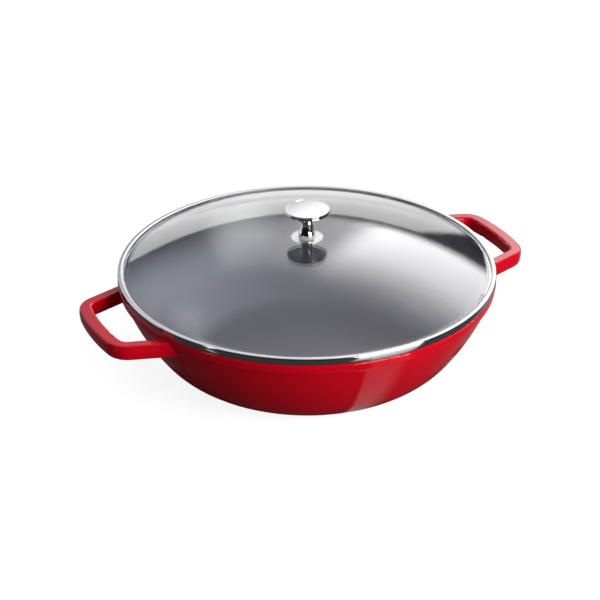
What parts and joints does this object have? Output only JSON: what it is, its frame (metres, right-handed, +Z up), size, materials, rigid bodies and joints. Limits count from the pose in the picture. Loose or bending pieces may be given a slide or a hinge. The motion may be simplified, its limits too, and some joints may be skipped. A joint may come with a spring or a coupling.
{
  "type": "wok with glass lid",
  "caption": "Enamelled cast-iron wok with loop handles on both sides and a domed glass lid that lifts off by a metal knob.",
  "frame": {"origin": "on the resting plane, below the centre of the bowl", "axes": "+X through the middle of one handle, +Y along the plain side, +Z up through the knob"},
  "size_m": [0.3732, 0.3042, 0.1344],
  "materials": {
    "enamelled_iron": "glossy deep red vitreous enamel outside, satin black enamel inside",
    "clear_glass": "clear tempered glass, polished",
    "edge_rubber": "soft black seal, matte",
    "band_steel": "bright rolled stainless steel",
    "knob_steel": "polished stainless steel, turned",
    "gasket_rubber": "translucent soft washer",
    "washer_steel": "polished stainless steel",
    "screw_steel": "plain stainless steel"
  },
  "bodies": {
    "wok": {"pan": "enamelled_iron"},
    "lid": {"lid_glass": "clear_glass", "edge_seal": "edge_rubber", "rim_band": "band_steel", "knob": "knob_steel", "upper_gasket": "gasket_rubber", "lower_gasket": "gasket_rubber", "backing_washer": "washer_steel", "knob_screw": "screw_steel"}
  },
  "joints": [
    {"name": "lid_lift", "type": "slide", "parent": "wok", "child": "lid", "axis": [0, 0, 1], "range_m": [0, 0.15]}
  ]
}
